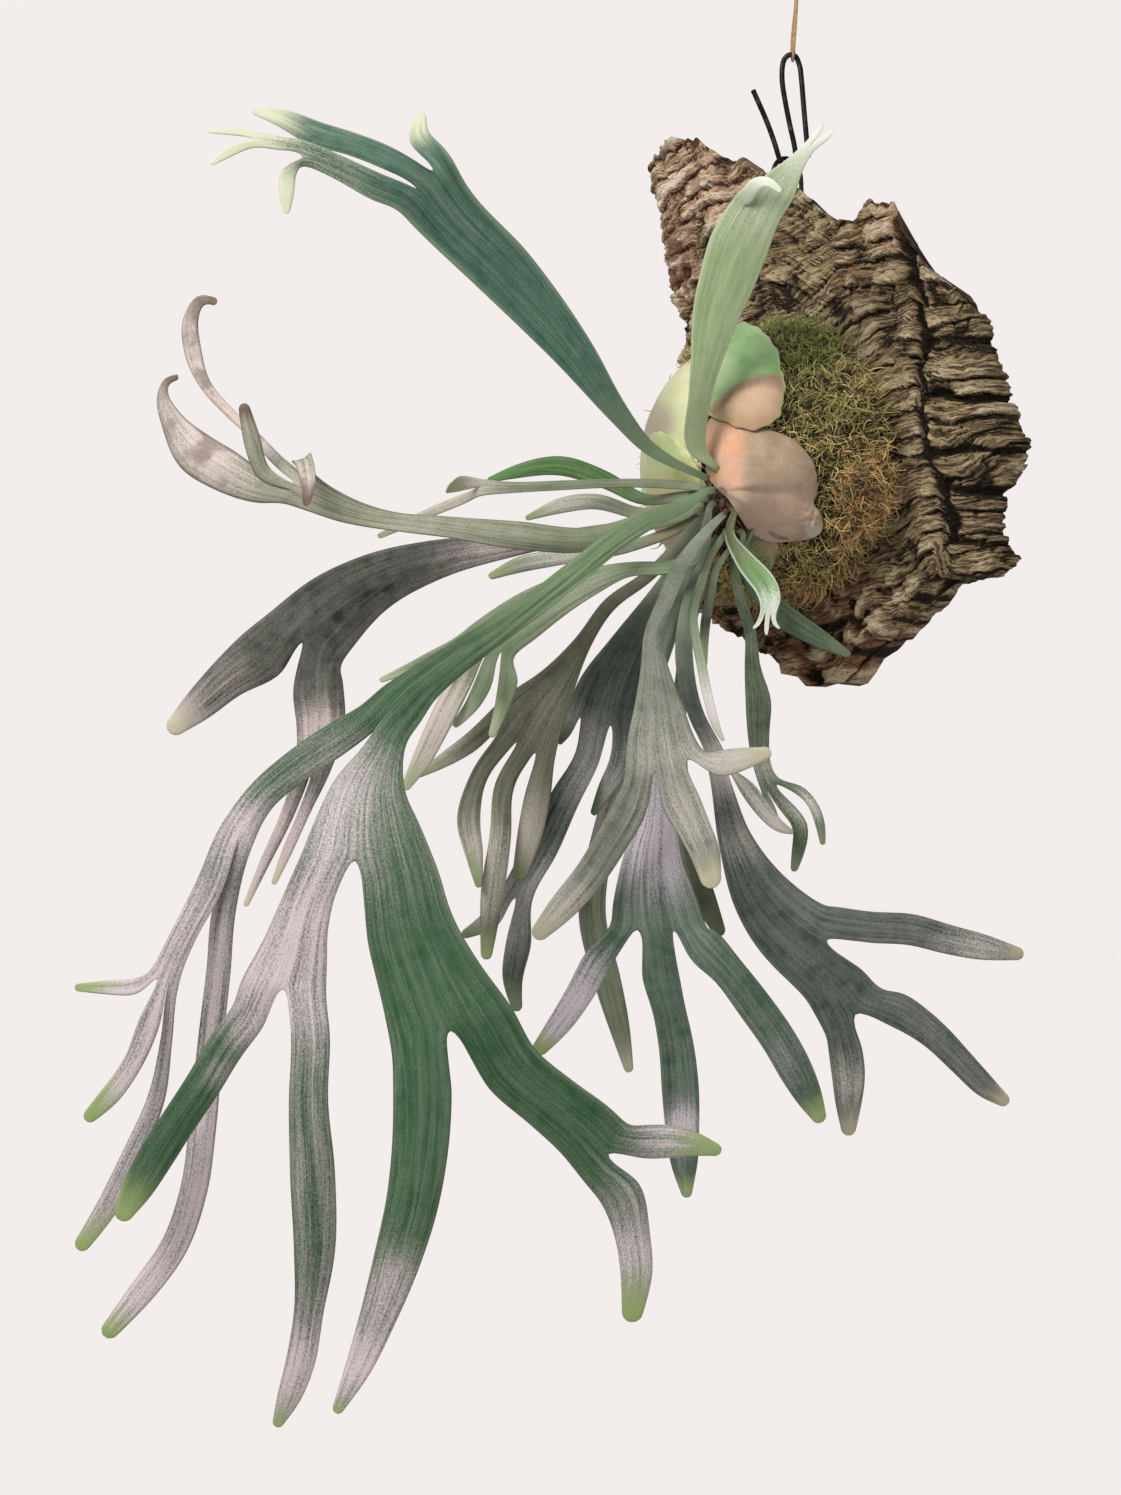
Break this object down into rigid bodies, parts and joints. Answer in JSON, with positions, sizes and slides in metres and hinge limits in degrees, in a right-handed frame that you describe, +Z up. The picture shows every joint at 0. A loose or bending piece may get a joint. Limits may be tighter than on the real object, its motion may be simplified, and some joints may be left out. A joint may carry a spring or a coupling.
{
  "type": "mounted staghorn fern",
  "caption": "Staghorn fern with forked antler fronds and shield fronds over a moss root ball, mounted on a slab of cork bark that hangs from a wire S-hook.",
  "frame": {"origin": "the crown of the S-hook, where the hook bears on its twine", "axes": "+Z is up along the hanging line, -Y is out from the wall on the fern's side, +X is to the right for someone who faces the board"},
  "size_m": [0.3689, 0.4119, 0.7228],
  "materials": {
    "frond_green": "fleshy leaf with a felt of fine silvery hairs, matt",
    "shield_tan": "drying shield leaf, velvety",
    "shield_green": "young shield leaf, soft sheen",
    "shield_pale": "pale shield leaf, soft sheen",
    "rhizome": "dry brown scales",
    "moss": "packed moss strands, matt",
    "cork": "rough cracked cork bark, matt",
    "wire": "dark drawn steel wire, slightly shiny",
    "jute": "twisted plant fibre, fuzzy"
  },
  "bodies": {
    "root": {"frond_upper_left": "frond_green", "frond_upright": "frond_green", "frond_curled_left": "frond_green", "frond_rolled_tip": "frond_green", "frond_arch_green": "frond_green", "frond_arch_grey": "frond_green", "frond_broad_left": "frond_green", "frond_great_front": "frond_green", "frond_twisted_sage": "frond_green", "frond_olive_fan": "frond_green", "frond_dark_teal": "frond_green", "frond_front_centre": "frond_green", "frond_lower_centre": "frond_green", "frond_lower_right": "frond_green", "frond_strap_pale": "frond_green", "frond_strap_dark": "frond_green", "frond_drooping_right": "frond_green", "frond_young_bright": "frond_green", "frond_lance_dark": "frond_green", "frond_inner_arch": "frond_green", "frond_behind_centre": "frond_green", "frond_behind_left": "frond_green", "rhizome_crown": "rhizome", "moss_root_ball": "moss", "shield_left": "shield_pale", "shield_young": "shield_green", "shield_lower": "shield_green", "shield_right": "shield_tan", "shield_upper": "shield_green", "cork_bark": "cork", "s_hook": "wire", "wire_loop": "wire", "jute_twine": "jute", "twine_knot": "jute"}
  },
  "joints": []
}
